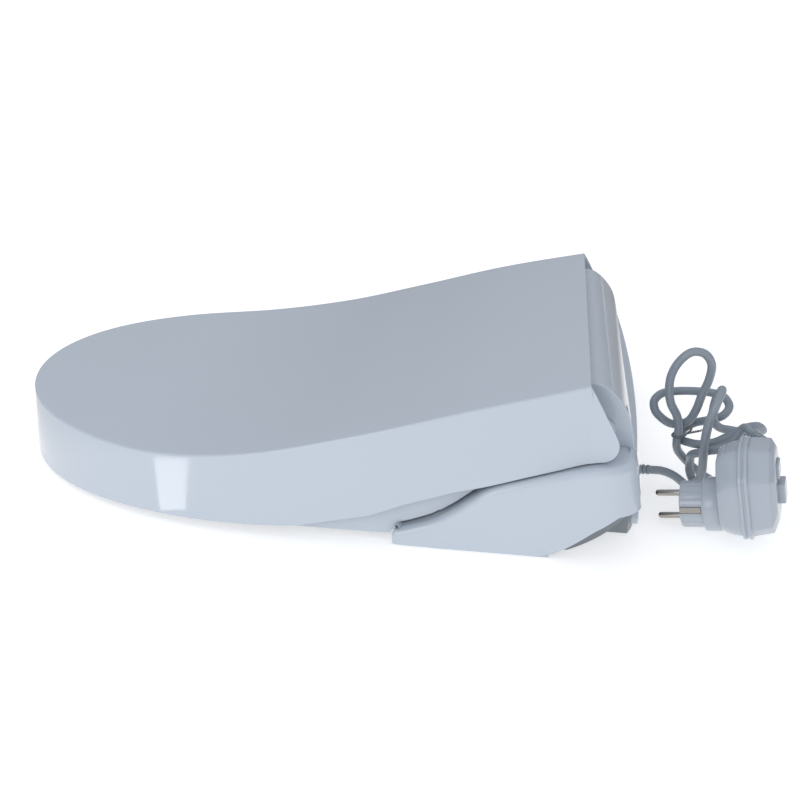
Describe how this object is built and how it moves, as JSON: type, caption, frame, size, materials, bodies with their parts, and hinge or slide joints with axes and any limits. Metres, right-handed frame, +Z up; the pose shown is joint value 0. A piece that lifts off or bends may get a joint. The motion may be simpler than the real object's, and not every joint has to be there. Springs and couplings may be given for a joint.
{
  "type": "electric bidet seat",
  "caption": "Electric bidet toilet seat: soft-close lid and heated ring hinged to a rear unit with a sliding spray nozzle, dryer, wing panels, and a tied mains lead with a protective plug.",
  "frame": {"origin": "on the bowl rim plane, under the middle of the seat and unit", "axes": "+Z up, -Y to the user's front of the seat, +Y to the wall, +X to the left of a seated user"},
  "size_m": [0.388, 0.6406, 0.1312],
  "materials": {
    "white_gloss": "glossy white moulded plastic with a cool cast",
    "plug_white": "satin white moulded plastic",
    "lower_case": "matt pale grey moulded plastic",
    "bumper_rubber": "soft pale grey rubber",
    "cord_sheath": "grey-blue flexible sheath",
    "cable_tie": "thin white tie",
    "steel": "plated steel",
    "heater_foil": "foil heater",
    "circuit_board": "green laminate",
    "inner_white": "white moulded plastic",
    "inner_grey": "grey moulded plastic"
  },
  "bodies": {
    "unit": {"bottom_case": "lower_case", "cable_tie": "cable_tie", "control_board": "circuit_board", "cord_gland": "cord_sheath", "dryer_duct": "inner_grey", "earth_clip_left": "steel", "earth_clip_right": "steel", "fan_housing": "inner_grey", "foot_front_left": "bumper_rubber", "foot_front_right": "bumper_rubber", "foot_rear_left": "bumper_rubber", "foot_rear_right": "bumper_rubber", "heater_element": "steel", "heater_tank": "inner_grey", "hinge_pin_left": "steel", "hinge_pin_right": "steel", "lid_damper": "inner_grey", "nozzle_guide": "inner_grey", "nozzle_motor": "steel", "plug_body": "plug_white", "plug_cord_gland": "cord_sheath", "plug_front": "plug_white", "plug_pin_lower": "steel", "plug_pin_upper": "steel", "plug_rear_block": "plug_white", "plug_seam_ring": "plug_white", "power_board": "circuit_board", "power_cord": "cord_sheath", "rear_cover": "white_gloss", "seat_damper": "inner_grey", "side_panel_left": "white_gloss", "side_panel_right": "white_gloss", "solenoid_valve": "inner_grey", "top_case": "white_gloss", "water_hose": "inner_grey", "water_inlet": "steel"},
    "lid": {"lid_shell": "white_gloss", "lid_bumper_left": "bumper_rubber", "lid_bumper_right": "bumper_rubber"},
    "seat": {"seat_upper_shell": "white_gloss", "seat_base_plate": "lower_case", "seat_heater_foil": "heater_foil", "seat_bumper_front_left": "bumper_rubber", "seat_bumper_front_right": "bumper_rubber", "seat_bumper_rear_left": "bumper_rubber", "seat_bumper_rear_right": "bumper_rubber"},
    "nozzle": {"nozzle_wand": "inner_white", "nozzle_tip": "steel"},
    "shutter": {"nozzle_shutter": "white_gloss"},
    "fan": {"fan_impeller": "inner_white"},
    "filter": {"filter_cartridge": "inner_grey"},
    "power_key": {"power_button": "white_gloss"},
    "stop_key": {"stop_button": "white_gloss"},
    "release_key": {"release_button": "white_gloss"},
    "plate": {"mounting_plate": "inner_grey"},
    "drain": {"drain_cap": "white_gloss"},
    "test_key": {"rcd_test_button": "inner_grey"},
    "reset_key": {"rcd_reset_button": "inner_grey"}
  },
  "joints": [
    {"name": "seat_hinge", "type": "hinge", "parent": "unit", "child": "seat", "pos_m": [0, 0.2315, 0.088], "axis": [-1, 0, 0], "range_deg": [0, 100]},
    {"name": "lid_hinge", "type": "hinge", "parent": "seat", "child": "lid", "pos_m": [0, 0.2315, 0.088], "axis": [1, 0, 0], "range_deg": [-100, 0]},
    {"name": "nozzle_slide", "type": "slide", "parent": "unit", "child": "nozzle", "axis": [0, -0.9135, -0.4067], "range_m": [0, 0.105]},
    {"name": "shutter_hinge", "type": "hinge", "parent": "unit", "child": "shutter", "pos_m": [0, 0.1266, 0.05], "axis": [-1, 0, 0], "range_deg": [0, 96]},
    {"name": "fan_spin", "type": "hinge", "parent": "unit", "child": "fan", "pos_m": [-0.063, 0.185, 0.044], "axis": [1, 0, 0], "continuous": true},
    {"name": "filter_slide", "type": "slide", "parent": "unit", "child": "filter", "axis": [-1, 0, 0], "range_m": [0, 0.045]},
    {"name": "power_press", "type": "slide", "parent": "unit", "child": "power_key", "axis": [1, 0, 0], "range_m": [0, 0.0015], "stiffness_N_per_m": 600},
    {"name": "stop_press", "type": "slide", "parent": "unit", "child": "stop_key", "axis": [1, 0, 0], "range_m": [0, 0.0015], "stiffness_N_per_m": 600},
    {"name": "release_press", "type": "slide", "parent": "unit", "child": "release_key", "axis": [1, 0, 0], "range_m": [0, 0.004], "stiffness_N_per_m": 500},
    {"name": "plate_slide", "type": "slide", "parent": "unit", "child": "plate", "axis": [0, 1, 0], "range_m": [0, 0.01]},
    {"name": "drain_turn", "type": "hinge", "parent": "unit", "child": "drain", "pos_m": [0.1345, 0.26, 0.01], "axis": [0, 1, 0], "range_deg": [0, 90]},
    {"name": "rcd_test_press", "type": "slide", "parent": "unit", "child": "test_key", "axis": [-0.2365, -0.9484, -0.2113], "range_m": [0, 0.0015], "stiffness_N_per_m": 500},
    {"name": "rcd_reset_press", "type": "slide", "parent": "unit", "child": "reset_key", "axis": [-0.2365, -0.9484, -0.2113], "range_m": [0, 0.0015], "stiffness_N_per_m": 500}
  ],
  "couplings": [
    {"joint": "shutter_hinge", "follows": "nozzle_slide", "rad_per_m": 15.791}
  ]
}
